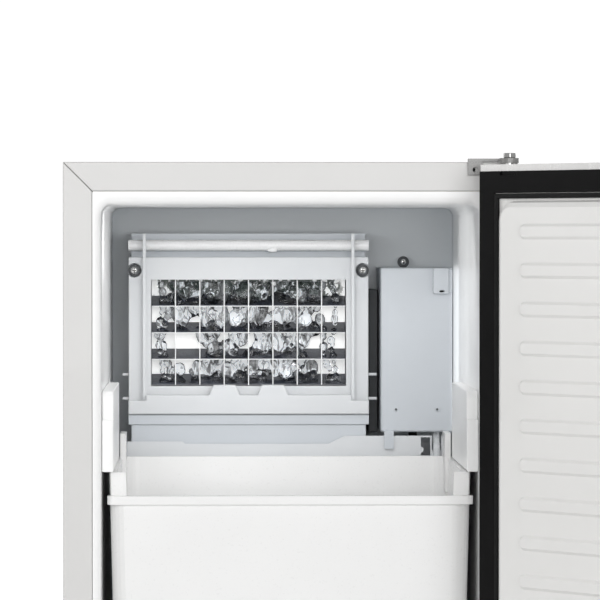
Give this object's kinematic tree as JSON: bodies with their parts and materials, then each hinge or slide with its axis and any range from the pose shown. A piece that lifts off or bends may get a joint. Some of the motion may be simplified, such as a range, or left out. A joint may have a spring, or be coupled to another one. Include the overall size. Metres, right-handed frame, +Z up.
{
  "type": "ice maker",
  "caption": "Undercounter clear-ice maker with its side-hinged door open, showing a vertical grid evaporator, control housing and pull-out ice bin.",
  "frame": {"origin": "middle of the base pan's underside; the levelling feet reach 20 mm below it", "axes": "+X to the right seen from the front, +Y to the back, +Z up; the door opens to -Y"},
  "size_m": [0.6407, 0.8529, 0.8669],
  "materials": {
    "trim_paint": "pale satin paint on sheet steel",
    "stainless": "brushed stainless steel",
    "dark_steel": "black painted steel",
    "white_plastic": "moulded plastic with a soft gloss",
    "pale_plastic": "moulded plastic, slightly blue",
    "tinned_grid": "tin-plated copper, wet",
    "black_plastic": "black plastic",
    "black_rubber": "black rubber",
    "copper": "bare copper tube",
    "foam": "blown insulation, hidden",
    "circuit_green": "coated circuit board",
    "clear_ice": "clear, wet, lumpy",
    "clear_tube": "milky flexible tube"
  },
  "bodies": {
    "cabinet": {"outer_case": "trim_paint", "rail_top": "trim_paint", "rail_left": "trim_paint", "rail_right": "trim_paint", "rail_bottom": "trim_paint", "inner_liner": "white_plastic", "insulation": "foam", "rear_panel": "trim_paint", "base_pan": "stainless", "kick_grille": "black_plastic", "switch_body": "black_plastic", "compressor": "dark_steel", "condenser_coil": "dark_steel", "fan_shroud": "dark_steel", "fan_motor": "stainless", "suction_line": "copper", "inlet_valve": "pale_plastic", "fill_tube": "clear_tube", "drain_hose": "clear_tube", "power_inlet": "black_plastic", "water_reservoir": "pale_plastic", "evaporator_bezel": "white_plastic", "bezel_screw_left": "black_rubber", "bezel_screw_right": "black_rubber", "evaporator_housing": "pale_plastic", "evaporator_grid": "tinned_grid", "evaporator_coil": "copper", "distributor_tube": "white_plastic", "supply_hose": "clear_tube", "splash_guard": "white_plastic", "drip_chute": "pale_plastic", "ice_sheet": "clear_ice", "control_cover": "pale_plastic", "control_back": "pale_plastic", "door_switch": "pale_plastic", "cover_screw_left": "stainless", "cover_screw_right": "stainless", "circuit_board": "circuit_green", "water_pump": "black_plastic", "overflow_tube": "clear_tube", "wiring_channel": "black_plastic", "bin_guide_left": "white_plastic", "bin_guide_right": "white_plastic", "hinge_bracket_top": "stainless", "hinge_pin_top": "stainless", "hinge_bracket_bottom": "stainless"},
    "door": {"door_skin": "stainless", "door_core": "foam", "door_liner": "white_plastic", "door_frame": "black_plastic", "door_gasket": "black_rubber", "door_handle": "stainless"},
    "bin": {"ice_bin": "white_plastic"},
    "fan": {"fan_blades": "pale_plastic"},
    "switch_key": {"switch_rocker": "black_plastic"},
    "foot_fl": {"foot_front_left": "stainless"},
    "foot_fr": {"foot_front_right": "stainless"},
    "foot_rl": {"foot_rear_left": "stainless"},
    "foot_rr": {"foot_rear_right": "stainless"}
  },
  "joints": [
    {"name": "door_hinge", "type": "hinge", "parent": "cabinet", "child": "door", "pos_m": [0.181, -0.2885, 0.45], "axis": [0, 0, 1], "range_deg": [-129, 0]},
    {"name": "bin_slide", "type": "slide", "parent": "cabinet", "child": "bin", "axis": [0, -1, 0], "range_m": [0, 0.28]},
    {"name": "fan_spin", "type": "hinge", "parent": "cabinet", "child": "fan", "pos_m": [-0.07, -0.184, 0.058], "axis": [0, 1, 0], "continuous": true},
    {"name": "switch_tip", "type": "hinge", "parent": "cabinet", "child": "switch_key", "pos_m": [-0.164, -0.255, 0.101], "axis": [0, 0, 1], "range_deg": [0, 16]},
    {"name": "foot_front_left_screw", "type": "slide", "parent": "cabinet", "child": "foot_fl", "axis": [0, 0, -1], "range_m": [0, 0.015]},
    {"name": "foot_front_right_screw", "type": "slide", "parent": "cabinet", "child": "foot_fr", "axis": [0, 0, -1], "range_m": [0, 0.015]},
    {"name": "foot_rear_left_screw", "type": "slide", "parent": "cabinet", "child": "foot_rl", "axis": [0, 0, -1], "range_m": [0, 0.015]},
    {"name": "foot_rear_right_screw", "type": "slide", "parent": "cabinet", "child": "foot_rr", "axis": [0, 0, -1], "range_m": [0, 0.015]}
  ]
}
